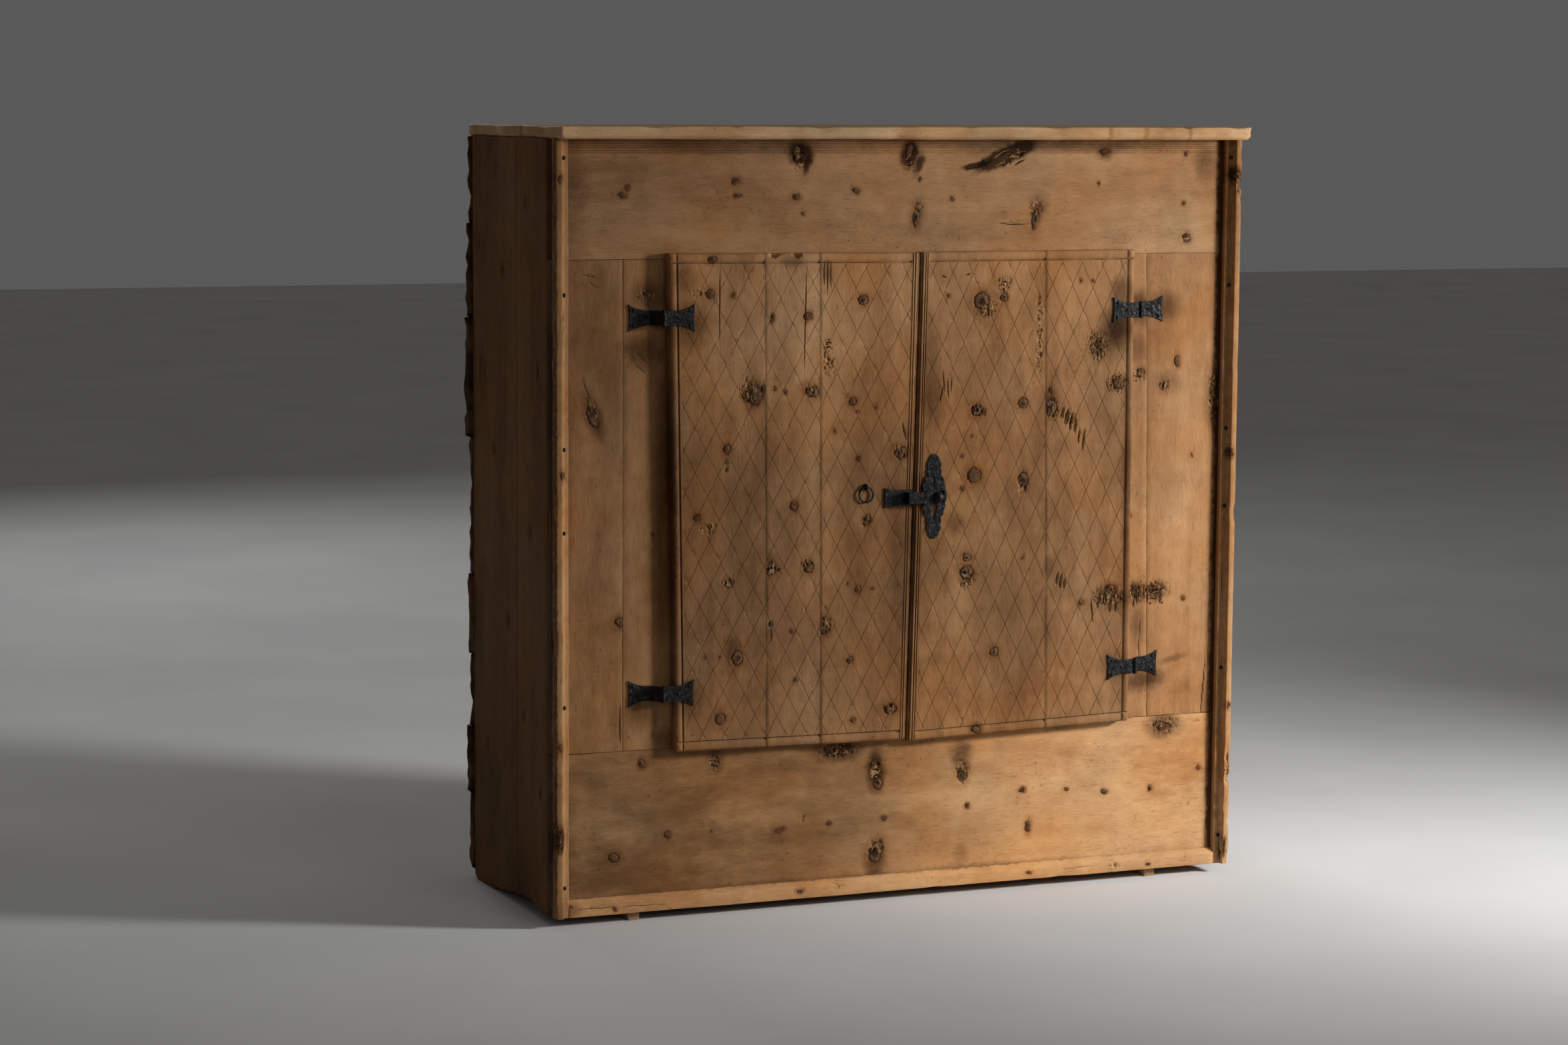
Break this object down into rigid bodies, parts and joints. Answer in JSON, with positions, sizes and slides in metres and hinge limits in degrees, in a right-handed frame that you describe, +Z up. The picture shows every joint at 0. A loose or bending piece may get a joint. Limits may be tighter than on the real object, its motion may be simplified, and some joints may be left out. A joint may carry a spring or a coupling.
{
  "type": "jelly cupboard",
  "caption": "Low rustic pine cupboard with a pair of overlaid plank doors on forged butterfly hinges, a turn latch, a ring pull, shelves and moulded corner strips.",
  "frame": {"origin": "on the floor, under the middle of the overall box", "axes": "+X along the front to the right, +Y from the front to the back, +Z up"},
  "size_m": [1.274, 0.497, 1.309],
  "materials": {
    "frame_pine": "aged honey-brown pine, waxed and worn",
    "door_pine": "aged pine, knotty, scored with a fine diagonal lattice",
    "top_pine": "bleached worn pine",
    "side_pine": "dull grey-brown aged pine",
    "rough_pine": "rough-sawn weathered pine",
    "plain_pine": "bare unfinished pine",
    "forged_iron": "blackened hand-forged iron"
  },
  "bodies": {
    "carcass": {"back_board_1": "rough_pine", "back_board_2": "rough_pine", "back_board_3": "rough_pine", "back_board_4": "rough_pine", "back_board_5": "rough_pine", "back_board_6": "rough_pine", "back_board_7": "rough_pine", "back_board_8": "rough_pine", "base_moulding": "frame_pine", "bottom_rail": "frame_pine", "corner_moulding_nails": "forged_iron", "floor_bearers": "plain_pine", "floor_front_board": "plain_pine", "floor_rear_board": "plain_pine", "foot_blocks": "plain_pine", "hinge_pins": "forged_iron", "left_corner_moulding": "frame_pine", "left_lower_stile_leaf": "forged_iron", "left_side_front_board": "side_pine", "left_side_rear_board": "side_pine", "left_stile_inner": "frame_pine", "left_stile_outer": "frame_pine", "left_upper_stile_leaf": "forged_iron", "right_corner_moulding": "frame_pine", "right_lower_stile_leaf": "forged_iron", "right_side_front_board": "side_pine", "right_side_rear_board": "side_pine", "right_stile_inner": "frame_pine", "right_stile_outer": "frame_pine", "right_upper_stile_leaf": "forged_iron", "shelf_cleats": "plain_pine", "shelf_lower": "plain_pine", "shelf_upper": "plain_pine", "stile_hinge_nails": "forged_iron", "top_front_board": "top_pine", "top_rail": "frame_pine", "top_rear_board": "top_pine"},
    "left_door": {"left_door_hinge_nails": "forged_iron", "left_door_ledge_lower": "plain_pine", "left_door_ledge_upper": "plain_pine", "left_door_plank_1": "door_pine", "left_door_plank_2": "door_pine", "left_door_plank_3": "door_pine", "left_lower_door_leaf": "forged_iron", "left_upper_door_leaf": "forged_iron", "ring_staple": "forged_iron", "strike_plate": "forged_iron"},
    "right_door": {"latch_bracket": "forged_iron", "latch_plate": "forged_iron", "right_door_hinge_nails": "forged_iron", "right_door_ledge_lower": "plain_pine", "right_door_ledge_upper": "plain_pine", "right_door_plank_1": "door_pine", "right_door_plank_2": "door_pine", "right_lower_door_leaf": "forged_iron", "right_upper_door_leaf": "forged_iron"},
    "latch": {"latch_tongue": "forged_iron", "latch_knob": "forged_iron"},
    "ring": {"pull_ring": "forged_iron"}
  },
  "joints": [
    {"name": "left_door_hinge", "type": "hinge", "parent": "carcass", "child": "left_door", "pos_m": [-0.4405, -0.21375, 0.688], "axis": [0, 0, -1], "range_deg": [0, 160]},
    {"name": "right_door_hinge", "type": "hinge", "parent": "carcass", "child": "right_door", "pos_m": [0.4328, -0.21375, 0.688], "axis": [0, 0, 1], "range_deg": [0, 160]},
    {"name": "latch_turn", "type": "hinge", "parent": "right_door", "child": "latch", "pos_m": [0.04516, -0.2299, 0.689], "axis": [0, 1, 0], "range_deg": [-90, 90]},
    {"name": "ring_swing", "type": "hinge", "parent": "left_door", "child": "ring", "pos_m": [-0.08041, -0.2167, 0.709], "axis": [-1, 0, 0], "range_deg": [0, 150]}
  ]
}
